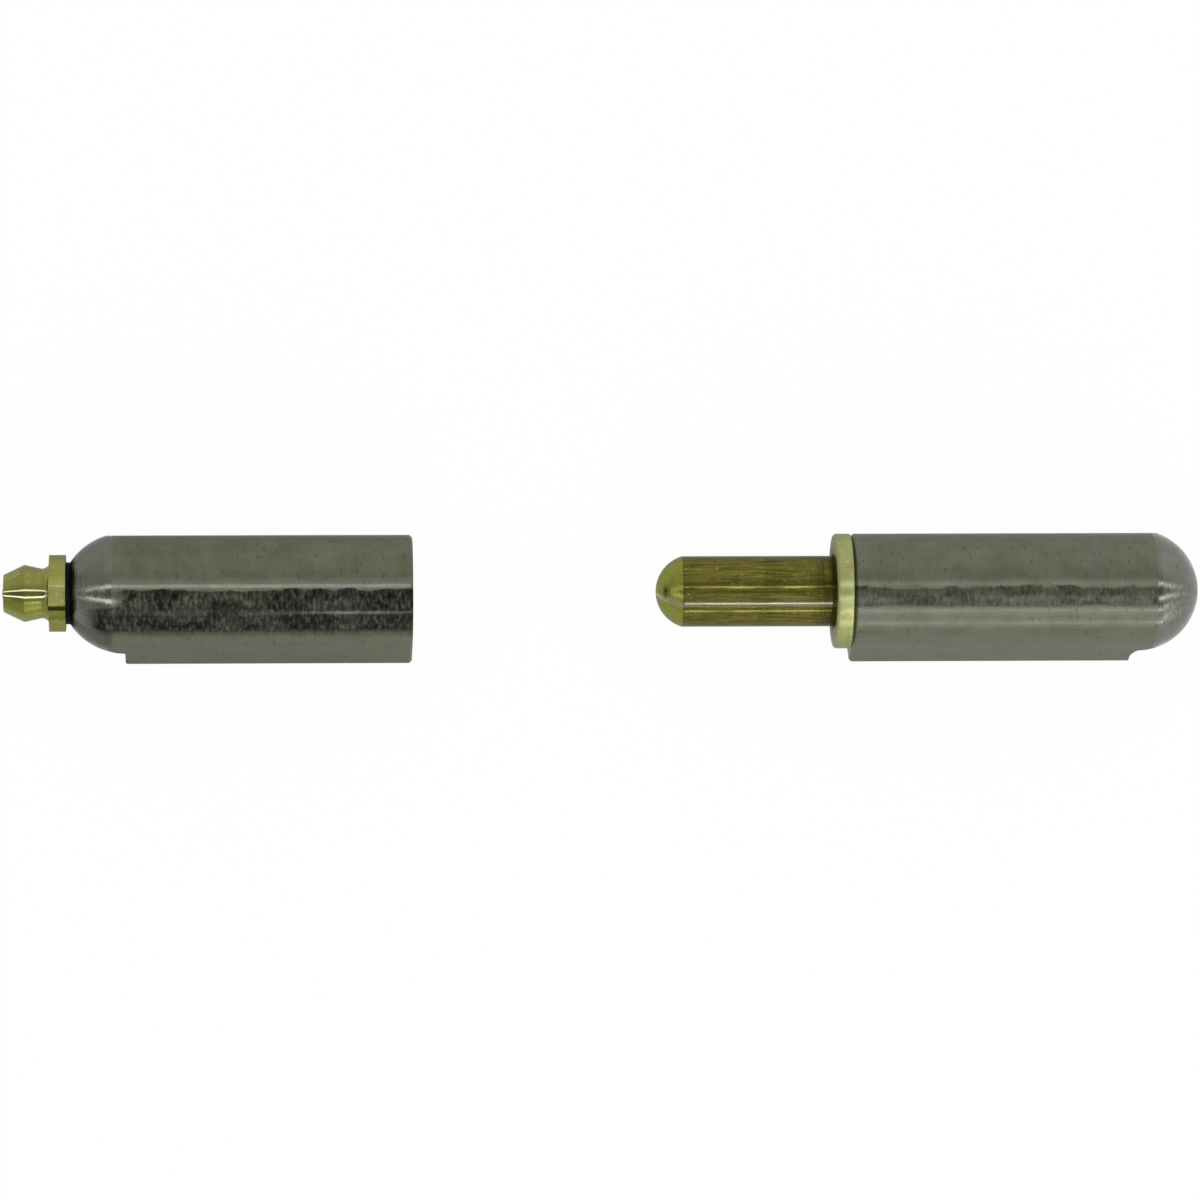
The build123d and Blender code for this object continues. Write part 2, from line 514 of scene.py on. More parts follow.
@dataclass(frozen=True, kw_only=True)
class BarSteel(Finish):
    """Drawn steel bar with a turned end, and scale left in a band along it.

    Angles are toward the lip. The band ends where the turned end begins, apart
    from a tongue that runs on over the dome. Oil wets one run along the scale,
    which soaks it up elsewhere. Where something stands on the dome, the bar can
    have painted shade round its foot, black there and fading outwards.
    """

    radius_mm: float = 6.5
    tone: Marks = Marks(0.3, detail=5.0, rough=0.6)
    cast: Marks = Marks(0.38, layer=9.0)
    rings: Marks = Marks(4.5, detail=2.0, around=0.05)
    feed: Marks = Marks(12.0, detail=1.0, around=0.02)
    drawn: Marks = Marks(2.6, along=0.06)
    pits: Marks = Marks(2.5, detail=2.5, around=0.42, layer=0.0)
    cloud: Marks = Marks(0.7, along=0.5, layer=5.0)
    speck: Marks = Marks(2.6, detail=1.0, rough=0.5, around=0.4, layer=3.0)

    cast_colour: Colour
    bright_colour: Colour = (0.3, 0.31, 0.3)
    bright_share: float
    # How much lighter the round side is towards the lip, between two angles.
    lip_side_lighter_share: float
    lip_side_lighter_deg: Stretch = (40.0, 60.0)
    # Share of the painted highlight: a lighter, bluer band in the turned colour along the oil's streak.
    painted_highlight_share: float = 0.0

    turned_beyond_mm: float
    turned_side: float
    # Colour of the turned steel, and also the tint of the painted highlight.
    turned_and_highlight_colour: Colour
    turned_share: float = 0.6
    turned_gloss: float = 0.17
    turned_wet: float
    feed_depth_mm: float = 0.045
    # How much darker the turned dome is towards the lip, between two angles.
    dome_darker_share: float = 0.0
    dome_darker_deg: Stretch = (15.0, 45.0)

    scale_colour: Colour
    deep_colour: Colour
    deep_after_deg: Stretch = (8.0, 20.0)
    scale_deg: Stretch
    scale_soft_deg: Stretch
    scale_wander_deg: float = 2.0
    scale_share: float
    scale_patchy: float = 0.15
    scale_dullness: float = 0.08
    scale_on_dome_mm: float = 0.0
    tongue_deg: Stretch = (12.0, 20.0)
    pit_depth_mm: float = 0.05
    pit_strength: float = 0.5

    scale_wet: float
    scale_run_wet: float
    scale_run_deg: float = 0.0
    run_fade_deg: Stretch = (2.0, 4.0)
    # Near black: the scale's pits, and the painted shade round a foot on the dome.
    pit_black_and_foot_shade_colour: Colour = (0.004, 0.004, 0.003)
    # Where the painted shade round a foot on the dome lies, how it fades and how much duller it is.
    foot_shade_radius_mm: float = 0.0
    foot_shade_fade_mm: Stretch = (1.0, 0.1)
    foot_shade_beyond_mm: Stretch = (2.0, 3.0)
    foot_shade_share: float = 0.97
    foot_shade_dullness: float = 0.3

    def surface(self, at: TurnedSurface) -> BarSurface:
        """Places and noises that several parts of the finish read.

        Args:
            at: Coordinates round the axis.

        Returns:
            Their sockets.
        """
        graph = at.graph
        pits, cloud = at.noise(self.pits), at.noise(self.cloud)
        beyond = graph.times(graph.minus(at.along, self.turned_beyond_mm), self.turned_side)
        wander = graph.span(cloud, 0.25, 0.75, -self.scale_wander_deg, self.scale_wander_deg)
        where = graph.plus(at.toward_lip, wander)
        band = graph.between(where, self.scale_deg, self.scale_soft_deg)
        reach = self.scale_on_dome_mm
        tongue = graph.span(at.toward_lip, *self.tongue_deg, 0.0, reach)
        kept = graph.without(graph.minus(beyond, tongue), -0.3 - 0.5 * reach, 0.5)
        scaly = graph.times(band, at.round_side, kept)
        scale = graph.times(
            scaly,
            graph.span(pits, 0.64, 0.5, 0.92, 1.0),
            graph.span(cloud, 0.35, 0.6, 1.0 - self.scale_patchy, 1.0),
            self.scale_share,
        )
        return BarSurface(
            at=at,
            pits=pits,
            cloud=cloud,
            speck=at.noise(self.speck),
            beyond=beyond,
            turned=graph.sum(Sum.MAXIMUM, graph.span(beyond, -0.15, 0.2), at.faced),
            where=where,
            scaly=scaly,
            scale=scale,
        )

    def bare(self, bar: BarSurface) -> Socket:
        """Colour of the steel where no scale is left.

        Args:
            bar: Places and noises on the bar.

        Returns:
            Socket of the colour.
        """
        at, graph = bar.at, bar.at.graph
        lip, side = at.toward_lip, at.round_side
        # The round side turns lighter towards the lip, between the two angles.
        lip_side_lighter = graph.span(lip, *self.lip_side_lighter_deg, 0.0, self.lip_side_lighter_share)
        # Painted highlight: the turned colour laid along the oil's streak on the round side.
        haze_and_painted_highlight = graph.times(self.streak(at), self.painted_highlight_share)
        # The turned dome turns darker towards the lip, in the scale's colour.
        dome_darker = graph.span(lip, *self.dome_darker_deg, 0.0, self.dome_darker_share)
        drawn = graph.span(at.noise(self.drawn), 0.52, 0.75, 0.0, 0.1)
        fleck = graph.span(bar.speck, 0.64, 0.72, 0.0, 0.35)
        return graph.layers(
            graph.mottled(at.noise(self.tone), self.colour, 0.13),
            (graph.span(at.noise(self.cast), 0.45, 0.7, 0.0, 0.5), self.cast_colour),
            (graph.times(lip_side_lighter, side), shade(self.colour, 1.3)),
            (graph.times(haze_and_painted_highlight, side), self.turned_and_highlight_colour),
            (graph.times(bar.turned, self.turned_share), self.turned_and_highlight_colour),
            (graph.times(bar.turned, dome_darker, side), self.scale_colour),
            (graph.span(at.noise(self.rings), 0.4, 0.65, 0.0, 0.03), self.bright_colour),
            (graph.times(drawn, side), self.scale_colour),
            (graph.times(fleck, side), self.scale_colour),
        )

    def crust(self, bar: BarSurface) -> Socket:
        """Colour of the scale: black in its pits, and worn bare on its heights.

        Args:
            bar: Places and noises on the bar.

        Returns:
            Socket of the colour.
        """
        graph = bar.at.graph
        inward = graph.minus(bar.where, self.scale_deg[0])
        return graph.layers(
            self.scale_colour,
            (graph.span(inward, *self.deep_after_deg), self.deep_colour),
            (graph.span(bar.pits, 0.5, 0.38, 0.0, 0.95), self.pit_black_and_foot_shade_colour),
            (graph.span(bar.pits, 0.52, 0.66, 0.0, 0.36), self.colour),
            (graph.span(bar.cloud, 0.42, 0.66, 0.0, 0.4), self.pit_black_and_foot_shade_colour),
        )

    def relief(self, bar: BarSurface) -> Socket:
        """Normal with feed grooves on what is turned and pits in the scale.

        Args:
            bar: Places and noises on the bar.

        Returns:
            Socket of the normal.
        """
        at, graph = bar.at, bar.at.graph
        grooves = graph.times(at.noise(self.feed), graph.line(bar.turned, 0.0, 1.0, 0.03, 1.0))
        pocks = graph.times(bar.pits, graph.line(bar.scaly, 0.0, 1.0, 0.08, 1.0), at.round_side)
        turned = graph.bump(grooves, self.feed_depth_mm)
        return graph.bump(pocks, self.pit_depth_mm, self.pit_strength, turned)

    def wetness(self, bar: BarSurface) -> Socket:
        """Share of oil, in patches, and less where scale soaks it up.

        Args:
            bar: Places and noises on the bar.

        Returns:
            Socket of the share.
        """
        at, graph = bar.at, bar.at.graph
        from_run = graph.size(graph.minus(at.toward_lip, self.scale_run_deg))
        wet_scale = graph.span(from_run, *self.run_fade_deg, self.scale_run_wet, self.scale_wet)
        covered = graph.span(bar.scale, 0.05, 0.4 + 0.5 * self.scale_share)
        wet = graph.minus(1.0, graph.times(covered, graph.minus(1.0, wet_scale)))
        film = graph.sum(Sum.MAXIMUM, self.film(at), graph.times(bar.turned, self.turned_wet))
        return graph.times(wet, at.round_side, film, graph.span(bar.cloud, 0.38, 0.55, 1.15, 0.65))

    def foot_shade(self, bar: BarSurface) -> Socket:
        """Share of the painted shade round the foot of what stands on the dome, full at the foot and
        fading outwards.

        Args:
            bar: Places and noises on the bar.

        Returns:
            Socket of the share.
        """
        graph = bar.at.graph
        from_foot = graph.minus(bar.at.out, self.foot_shade_radius_mm)
        ring = graph.span(from_foot, *self.foot_shade_fade_mm, 0.0, self.foot_shade_share)
        return graph.times(ring, graph.span(bar.beyond, *self.foot_shade_beyond_mm))

    def build(self) -> bpy.types.Material:
        """Build the material.

        Returns:
            The finished material.
        """
        material, at = self.begin()
        graph = at.graph
        bar = self.surface(at)
        bright = graph.times(graph.span(bar.speck, 0.6, 0.75, 0.0, self.bright_share), bar.scaly)
        base = graph.layers(self.bare(bar), (bar.scale, self.crust(bar)), (bright, self.bright_colour))
        dull = graph.span(bar.scale, 0.0, 1.0, self.roughness, self.roughness + self.scale_dullness)
        rough = graph.plus(dull, graph.times(bar.turned, -self.turned_gloss))
        wet = self.wetness(bar)
        # Painted shade round the foot of what stands on the dome: near black, duller and without oil.
        if self.foot_shade_radius_mm:
            foot_shade = self.foot_shade(bar)
            base = graph.blend(foot_shade, base, self.pit_black_and_foot_shade_colour)
            rough = graph.plus(rough, graph.times(foot_shade, self.foot_shade_dullness))
            wet = graph.times(wet, graph.minus(1.0, foot_shade))
        self.end(graph, base, rough, self.relief(bar), wet)
        return material


@dataclass(frozen=True, kw_only=True)
class Brass(Finish):
    """Turned or drawn brass, with marks along or round the pin's axis.

    Angles are toward the lip. A tip can be clean before a place along the
    axis, a stretch darker in patches and a band scuffed dull. What lies further
    out than milled_from_mm is milled, and one of its corners gets a painted
    dark reflection.
    """

    tone: Marks = Marks(0.3)
    drawn: Marks = Marks(4.0, detail=4.0, rough=0.6, along=0.06)
    turned: Marks = Marks(5.0, rough=0.6, around=0.04)
    dark_colour: Colour
    bright_colour: Colour
    along_share: float
    round_share: float
    drawn_depth_mm: float = 0.004
    turned_depth_mm: float = 0.01

    clean_colour: Colour = (0.2, 0.19, 0.06)
    clean_before_mm: float = -1000.0
    # Stretch along the axis that is darker in patches.
    darker_stretch_mm: Stretch = (1000.0, 1001.0)
    scuff_at_deg: float = 0.0
    scuff_half_deg: float = 10.0
    scuff_soft_deg: float = 1.5
    scuff_wander_deg: float = 2.0
    scuff_share: float = 0.0

    milled_from_mm: float = 0.0
    milled_dullness: float = 0.34
    flat_at_deg: float = 0.0
    half_flat_deg: float = 30.0
    # Where the painted dark reflection lies, on one corner of the hexagon.
    corner_deg: Stretch = (23.5, 26.0)
    corner_side_deg: Stretch = (0.0, 5.0)
    corner_end_deg: Stretch = (26.0, 29.0)

    def scuff(self, at: TurnedSurface, tone: Socket, clean: Socket) -> Socket:
        """Share of the scuffed band, which a clean tip doesn't have.

        Args:
            at: Coordinates round the axis.
            tone: Noise that makes the band's edges wander.
            clean: Share of the clean tip.

        Returns:
            Socket of the share.
        """
        graph = at.graph
        wander = graph.span(tone, 0.3, 0.7, -self.scuff_wander_deg, self.scuff_wander_deg)
        aside = graph.plus(graph.size(graph.minus(at.toward_lip, self.scuff_at_deg)), wander)
        outer, inner = self.scuff_half_deg + self.scuff_soft_deg, self.scuff_half_deg - self.scuff_soft_deg
        return graph.times(graph.span(aside, outer, inner, 0.0, self.scuff_share), graph.without(clean))

    def painted_corner_reflection(self, at: TurnedSurface) -> Socket:
        """Share of the painted dark reflection on the one corner between two milled flats, on the lip's
        side.

        Args:
            at: Coordinates round the axis.

        Returns:
            Socket of the share.
        """
        graph, lip = at.graph, at.toward_lip
        from_flat = graph.sum(Sum.PING_PONG, graph.minus(lip, self.flat_at_deg), self.half_flat_deg)
        return graph.times(
            graph.span(from_flat, *self.corner_deg),
            graph.span(lip, *self.corner_side_deg),
            graph.without(lip, *self.corner_end_deg),
            at.round_side,
        )

    def build(self) -> bpy.types.Material:
        """Build the material.

        Returns:
            The finished material.
        """
        material, at = self.begin()
        graph = at.graph
        tone, drawn, turned = at.noise(self.tone), at.noise(self.drawn), at.noise(self.turned)
        spots = graph.noise(at.place, 2.1, 4.0, 0.65)
        clean = graph.without(at.along, self.clean_before_mm - 0.1, self.clean_before_mm + 0.1)
        darker_stretch = graph.span(at.along, *self.darker_stretch_mm)
        scuff = self.scuff(at, tone, clean)
        base = graph.layers(
            graph.mottled(tone, self.colour, 0.14),
            (graph.span(drawn, 0.44, 0.62, 0.0, self.along_share), self.dark_colour),
            (graph.span(turned, 0.5, 0.74, 0.0, self.round_share), self.dark_colour),
            (graph.span(spots, 0.58, 0.74, 0.0, 0.5), self.bright_colour),
            # Darker in patches over a stretch along the axis.
            (graph.times(darker_stretch, graph.span(turned, 0.3, 0.62, 0.25, 0.9)), self.dark_colour),
            (graph.times(clean, 0.75), self.clean_colour),
            (graph.times(scuff, 0.35), self.dark_colour),
        )
        worn = graph.plus(drawn, spots, graph.times(clean, 0.5), graph.times(scuff, 0.8))
        rough = graph.span(worn, 0.8, 1.9, self.roughness - 0.03, self.roughness + 0.25)
        if self.milled_from_mm:
            milled = graph.step(at.out, self.milled_from_mm, 0.05)
            rough = graph.plus(rough, graph.times(milled, self.milled_dullness))
            base = graph.layers(
                base,
                # Painted dark reflection on one corner of the hexagon.
                (graph.times(self.painted_corner_reflection(at), milled), shade(self.dark_colour, 0.3)),
                (graph.times(milled, 0.06), self.dark_colour),
            )
        normal = graph.bump(turned, self.turned_depth_mm, 0.15 + 0.6 * self.round_share)
        normal = graph.bump(drawn, self.drawn_depth_mm, 0.1 + 0.6 * self.along_share, normal)
        wet = graph.times(graph.span(scuff, 0.0, 1.0, 1.0, 0.1), self.film(at))
        self.end(graph, base, rough, normal, wet)
        return material


@dataclass(frozen=True, kw_only=True)
class PlainSteel(Finish):
    """Bright steel of the small inner pieces."""

    def build(self) -> bpy.types.Material:
        """Build the material.

        Returns:
            The finished material.
        """
        material, at = self.begin()
        graph = at.graph
        # Random haze: patches of lighter, rougher steel.
        haze_and_painted_highlight = graph.noise(at.place, 3.0)
        base = graph.blend(graph.span(haze_and_painted_highlight, 0.3, 0.7), shade(self.colour, 0.85), self.colour)
        rough = graph.span(haze_and_painted_highlight, 0.3, 0.7, self.roughness - 0.04, self.roughness + 0.06)
        self.end(graph, base, rough, graph.bump(haze_and_painted_highlight, 0.002, 0.3), self.oil)
        return material


# ------------------------------------------------------------------ modelling


@dataclass(frozen=True)
class Ring:
    """One ring of a turned outline, in millimetres from the piece's datum."""

    along: float
    radius: float


def arc(centre: Ring, radius: float, start_deg: float, end_deg: float, steps: int) -> list[Ring]:
    """Rings along an arc of the outline.

    Args:
        centre: Centre of the arc, along and out from the axis.
        radius: Radius of the arc.
        start_deg: Angle of the first ring, from the axis.
        end_deg: Angle of the last ring.
        steps: Runs between the rings.

    Returns:
        The rings in order, both ends with them.
    """
    turns = [math.radians(start_deg + (end_deg - start_deg) * step / steps) for step in range(steps + 1)]
    return [
        Ring(centre.along + radius * math.cos(turn), centre.radius + radius * math.sin(turn))
        for turn in turns
    ]


class Bench:
    """Edit-mode work that the hinge's pieces share."""

    SMALLEST_MM = 0.002
    MERGE_WITHIN = 3e-7
    CUT_WITHIN = 1e-7
    SHARP_DEG = 28.0
    BREAK_STEPS = 3

    @staticmethod
    def clear() -> None:
        """Leave edit mode and deselect every object."""
        if bpy.context.object and bpy.context.object.mode != "OBJECT":
            bpy.ops.object.mode_set(mode="OBJECT")
        bpy.ops.object.select_all(action="DESELECT")

    @staticmethod
    def only(piece: bpy.types.Object) -> None:
        """Make a piece the one that operators act on.

        Args:
            piece: Piece to work on.
        """
        Bench.clear()
        piece.select_set(True)
        bpy.context.view_layer.objects.active = piece

    @staticmethod
    def turn(
        name: str,
        rings: Sequence[Ring],
        datum: Vector,
        way: float = 1.0,
        sides: int = 128,
        closed: bool = False,
    ) -> bpy.types.Object:
        """Turn a solid about the pin's axis, ring by ring.

        Args:
            name: Name of the new piece.
            rings: Outline, from one end to the other.
            datum: Point on the axis that the rings are measured from.
            way: 1 where rings run towards +X, -1 towards -X.
            sides: Faces round the piece.
            closed: Whether the last ring joins the first, as on a washer.

        Returns:
            The new piece, with its place in its mesh.
        """
        Bench.clear()
        first = rings[0]
        bpy.ops.mesh.primitive_circle_add(
            vertices=sides,
            radius=max(first.radius, Bench.SMALLEST_MM) * MM,
            fill_type="NOTHING" if closed else "NGON",
            location=(datum.x + way * first.along * MM, datum.y, datum.z),
            rotation=(0.0, math.pi / 2, 0.0),
        )
        piece = bpy.context.object
        piece.name = name
        piece.data.name = name
        bpy.ops.object.transform_apply(location=True, rotation=True, scale=True)
        bpy.ops.object.mode_set(mode="EDIT")
        bpy.ops.mesh.select_mode(type="EDGE" if closed else "FACE")
        bpy.ops.mesh.select_all(action="SELECT")
        last = first
        for ring in [*rings[1:], *([first] if closed else [])]:
            bpy.ops.mesh.extrude_region_move(
                TRANSFORM_OT_translate={"value": (way * (ring.along - last.along) * MM, 0.0, 0.0)}
            )
            grow = max(ring.radius, Bench.SMALLEST_MM) / max(last.radius, Bench.SMALLEST_MM)
            middle = (datum.x + way * ring.along * MM, datum.y, datum.z)
            bpy.ops.transform.resize(value=(1.0, grow, grow), center_override=middle)
            last = ring
        Bench.tidy()
        return piece

    @staticmethod
    def tidy() -> None:
        """Merge doubled points, point the faces outwards and leave edit mode."""
        bpy.ops.mesh.select_mode(type="VERT")
        bpy.ops.mesh.select_all(action="SELECT")
        bpy.ops.mesh.remove_doubles(threshold=Bench.MERGE_WITHIN)
        bpy.ops.mesh.normals_make_consistent(inside=False)
        bpy.ops.object.mode_set(mode="OBJECT")

    @staticmethod
    def mill(piece: bpy.types.Object, point: Vector, outward: Vector) -> None:
        """Mill a flat on a piece and close the cut.

        Args:
            piece: Piece to cut.
            point: Point on the flat.
            outward: Direction that the flat faces.
        """
        Bench.only(piece)
        bpy.ops.object.mode_set(mode="EDIT")
        bpy.ops.mesh.select_all(action="SELECT")
        bpy.ops.mesh.bisect(
            plane_co=point,
            plane_no=outward,
            use_fill=True,
            clear_outer=True,
            threshold=Bench.CUT_WITHIN,
        )
        bpy.ops.object.mode_set(mode="OBJECT")

    @staticmethod
    def weld(piece: bpy.types.Object, other: bpy.types.Object) -> None:
        """Join a second solid to a piece and drop the second.

        Args:
            piece: Piece that grows.
            other: Solid that is joined to it.
        """
        Bench.only(piece)
        join = piece.modifiers.new("join", "BOOLEAN")
        join.operation = "UNION"
        join.solver = "EXACT"
        join.object = other
        bpy.ops.object.modifier_apply(modifier=join.name)
        bpy.data.objects.remove(other, do_unlink=True)

    @staticmethod
    def break_edges(piece: bpy.types.Object, width_mm: float) -> None:
        """Round a piece's sharp edges and shade the rest smooth.

        Args:
            piece: Piece to finish.
            width_mm: Width of the rounding.
        """
        Bench.only(piece)
        sharp = math.radians(Bench.SHARP_DEG)
        edge = piece.modifiers.new("edge break", "BEVEL")
        edge.width = width_mm * MM
        edge.segments = Bench.BREAK_STEPS
        edge.limit_method = "ANGLE"
        edge.angle_limit = sharp
        edge.use_clamp_overlap = True
        bpy.ops.object.modifier_apply(modifier=edge.name)
        bpy.ops.object.shade_smooth_by_angle(angle=sharp)

    @staticmethod
    def dress(piece: bpy.types.Object, finish: Finish) -> None:
        """Give a piece one finish all over.

        Args:
            piece: Piece to dress.
            finish: What it is dressed in.
        """
        material = finish.build()
        if piece.data.materials:
            for index in range(len(piece.data.materials)):
                piece.data.materials[index] = material
        else:
            piece.data.materials.append(material)

    @staticmethod
    def dress_node(node: Node, finish: Finish) -> bpy.types.Object:
        """Give a CAD node one finish all over.

        Args:
            node: Node that keeps its shape.
            finish: What it is dressed in.

        Returns:
            The node's object.
        """
        piece = bpy.data.objects[node.value]
        Bench.dress(piece, finish)
        return piece


# ----------------------------------------------------------------- the pieces


class SubAssembly(ABC):
    """What the hinge's sub-assemblies share."""

    @abstractmethod
    def build(self) -> list[bpy.types.Object]:
        """Make and dress the pieces."""

    @staticmethod
    def settle(piece: bpy.types.Object, body: Body, slot: Slot, node: Node) -> None:
        """Attach a new piece to the body it rides on, and hide the CAD node that it stands for.

        Args:
            piece: The new piece.
            body: Body that carries it.
            slot: Its material slot, which is not used.
            node: CAD node that it replaces.
        """
        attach(piece, body.value)
        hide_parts(node.value)
        LOG.info("%s rides on %s and stands for %s", piece.name, body.value, node.value)


@dataclass
class PinHalf(SubAssembly):
    """Steel barrel with a closed dome, and the brass pin pressed into it.

    Sizes are in millimetres. The pin is darker, in patches, where it leaves the
    barrel, and clean where its tip is turned.
    """

    bar_length: float = 34.2
    tip_height: float = 3.0
    tip_steps: int = 20
    tip_land: float = 0.15
    end_break: float = 0.4
    edge_break: float = 0.08
    clean_length: float = 2.9
    darker_length: float = 5.5
    darker_full: float = 2.5
    barrel: Axis = field(default_factory=lambda: Axis(Node.PIN_BARREL))
    pin: Axis = field(default_factory=lambda: Axis(Node.HINGE_PIN))

    def steel(self) -> BarSteel:
        """Finish of the barrel.

        Returns:
            The finish.
        """
        return BarSteel(
            name="pin_half_bar",
            seed_mm=40.0,
            colour=linear(100, 103, 84),
            cast_colour=linear(106, 101, 97),
            roughness=0.32,
            edge_tint=0.72,
            lip_side_lighter_share=0.7,
            painted_highlight_share=0.15,
            oil=0.2,
            oil_deg=(16.0, 42.0),
            turned_beyond_mm=self.barrel.low.x / MM + self.bar_length,
            turned_side=1.0,
            turned_and_highlight_colour=linear(112, 115, 105),
            turned_wet=0.55,
            scale_colour=linear(58, 53, 45),
            deep_colour=linear(56, 54, 49),
            scale_deg=(-3.5, 16.5),
            scale_soft_deg=(1.2, 2.5),
            scale_share=0.75,
            scale_patchy=0.35,
            scale_wet=0.2,
            scale_run_wet=0.2,
            bright_share=0.15,
            pit_strength=0.3,
        )

    def brass(self) -> Brass:
        """Finish of the pin.

        Returns:
            The finish.
        """
        face = self.barrel.low.x / MM
        return Brass(
            name="pin_brass",
            colour=linear(107, 101, 46),
            dark_colour=linear(50, 46, 12),
            bright_colour=linear(180, 170, 100),
            roughness=0.12,
            along_share=0.6,
            round_share=0.2,
            oil=1.0,
            oil_rest=0.0,
            oil_ior=1.75,
            oil_deg=(12.0, 27.0),
            clean_colour=linear(142, 143, 66),
            clean_before_mm=self.pin.low.x / MM + self.clean_length,
            darker_stretch_mm=(face - self.darker_length, face - self.darker_full),
            scuff_at_deg=6.5,
            scuff_half_deg=10.5,
            scuff_share=0.9,
        )

    def pin_rings(self) -> list[Ring]:
        """Outline of the pin from its domed tip to its held end.

        Returns:
            The rings in order.
        """
        length, radius = self.pin.length_mm, self.pin.radius_mm
        dome = (radius**2 + self.tip_height**2) / (2 * self.tip_height)
        reach = math.degrees(math.asin(radius / dome))
        return [
            *arc(Ring(dome, 0.0), dome, 180.0, 180.0 - reach, self.tip_steps),
            Ring(self.tip_height + self.tip_land, radius),
            Ring(length - self.end_break, radius),
            Ring(length, radius - self.end_break),
        ]

    def build(self) -> list[bpy.types.Object]:
        """Make the pin and dress both pieces.

        Returns:
            The barrel and the new pin.
        """
        barrel = Bench.dress_node(Node.PIN_BARREL, self.steel())
        pin = Bench.turn("pin_turned", self.pin_rings(), self.pin.at(self.pin.low.x))
        Bench.break_edges(pin, self.edge_break)
        Bench.dress(pin, self.brass())
        self.settle(pin, Body.PIN_HALF, Slot.PIN_BRASS, Node.HINGE_PIN)
        return [barrel, pin]


@dataclass
class ThrustWasher(SubAssembly):
    """Brass washer between the two halves, with sizes in millimetres."""

    inner_radius: float = 4.2
    chamfer: float = 0.2
    edge_break: float = 0.06
    washer: Axis = field(default_factory=lambda: Axis(Node.WASHER))

    def brass(self) -> Brass:
        """Finish of the washer.

        Returns:
            The finish.
        """
        return Brass(
            name="washer_brass",
            colour=linear(158, 160, 104),
            dark_colour=linear(105, 105, 55),
            bright_colour=linear(215, 205, 165),
            roughness=0.32,
            along_share=0.15,
            round_share=0.5,
        )

    def rings(self) -> list[Ring]:
        """Outline of the washer's section, once round.

        Returns:
            The rings in order.
        """
        thick, outer = self.washer.length_mm, self.washer.radius_mm
        inner, chamfer = self.inner_radius, self.chamfer
        return [
            Ring(0.0, inner + chamfer),
            Ring(0.0, outer - chamfer),
            Ring(chamfer, outer),
            Ring(thick - chamfer, outer),
            Ring(thick, outer - chamfer),
            Ring(thick, inner + chamfer),
            Ring(thick - chamfer, inner),
            Ring(chamfer, inner),
        ]

    def build(self) -> list[bpy.types.Object]:
        """Make and dress the washer.

        Returns:
            The new washer.
        """
        datum = self.washer.at(self.washer.low.x)
        washer = Bench.turn("washer_turned", self.rings(), datum, closed=True)
        Bench.break_edges(washer, self.edge_break)
        Bench.dress(washer, self.brass())
        self.settle(washer, Body.WASHER, Slot.WASHER_BRASS, Node.WASHER)
        return [washer]


